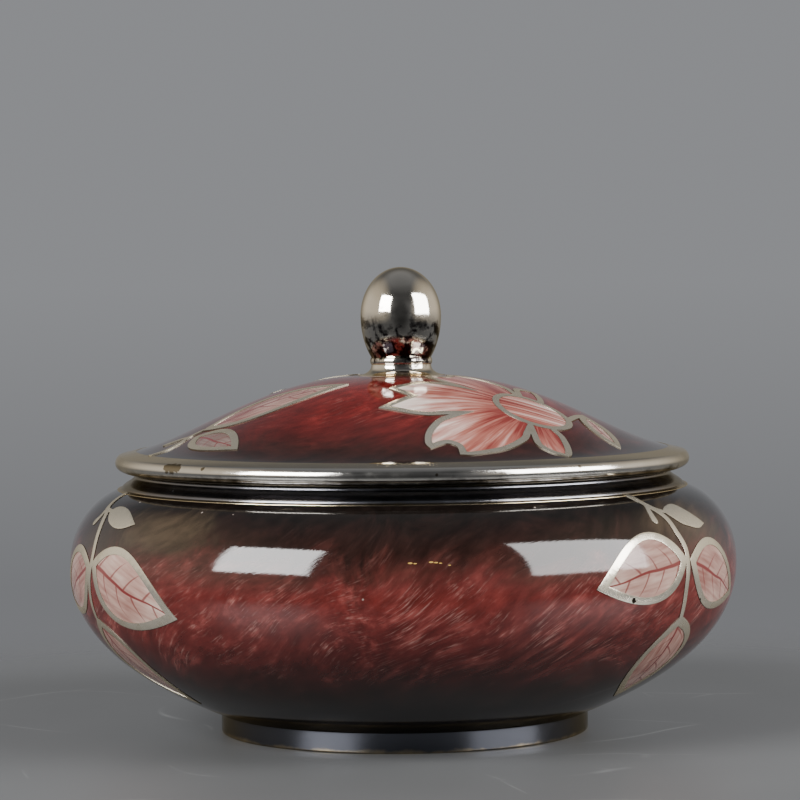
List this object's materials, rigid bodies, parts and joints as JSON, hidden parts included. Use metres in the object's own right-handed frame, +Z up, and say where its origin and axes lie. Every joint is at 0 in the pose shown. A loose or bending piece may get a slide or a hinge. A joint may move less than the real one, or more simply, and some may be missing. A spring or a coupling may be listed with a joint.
{
  "type": "lidded porcelain bowl",
  "caption": "Low round porcelain bowl on a foot ring with a domed lift-off lid, a silvered knob and silvered rims, painted leaves and a flower.",
  "frame": {"origin": "centre of the foot ring's underside, on the surface the bowl stands on", "axes": "+Z up along the turning axis of bowl and lid, -Y towards the side with the two leaf sprays"},
  "size_m": [0.1652, 0.1652, 0.1146],
  "materials": {
    "bowl_glaze": "gloss",
    "lid_glaze": "gloss"
  },
  "bodies": {
    "root": {"bowl": "bowl_glaze", "lid": "lid_glaze"}
  },
  "joints": []
}
